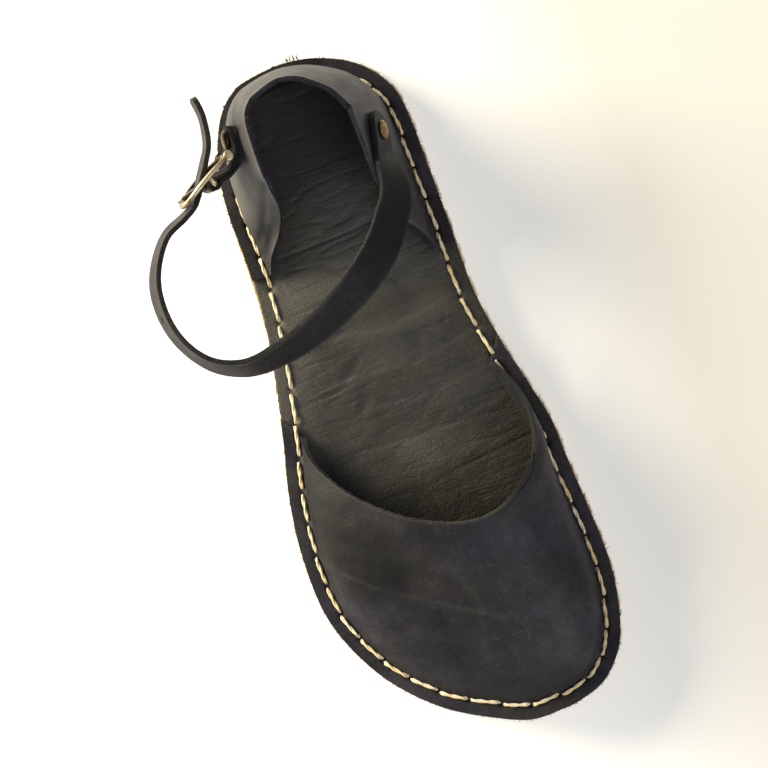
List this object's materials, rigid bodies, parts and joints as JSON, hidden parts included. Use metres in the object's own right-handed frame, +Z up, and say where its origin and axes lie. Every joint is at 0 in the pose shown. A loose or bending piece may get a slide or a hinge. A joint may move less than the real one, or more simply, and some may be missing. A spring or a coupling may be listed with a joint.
{
  "type": "ankle strap sandal",
  "caption": "Hand-stitched leather sandal for the right foot, with a closed toe, an open waist, a heel counter and a buckled ankle strap on a thick flat sole.",
  "frame": {"origin": "on the ground under the middle of the heel seat", "axes": "+Z up, +Y from the heel towards the toe, +X towards the wearer's right, which is the shoe's outer side"},
  "size_m": [0.1293, 0.2642, 0.073],
  "materials": {
    "sole_leather": "undyed vegetable-tanned leather, smooth below, rough cut edge",
    "insole_leather": "dark oiled leather, finely creased, satin",
    "upper_leather": "dark navy-grey oiled leather, satin",
    "strap_leather": "dark oiled leather with fuzzy cut edges, satin",
    "buckle_metal": "worn nickel plate",
    "rivet_metal": "brushed antique brass"
  },
  "bodies": {
    "root": {"outsole": "sole_leather", "insole": "insole_leather", "counter": "upper_leather", "vamp": "upper_leather", "ankle_strap": "strap_leather", "buckle_strap": "strap_leather", "buckle_frame": "buckle_metal", "buckle_prong": "buckle_metal", "inner_rivet": "rivet_metal", "outer_rivet": "rivet_metal"}
  },
  "joints": []
}
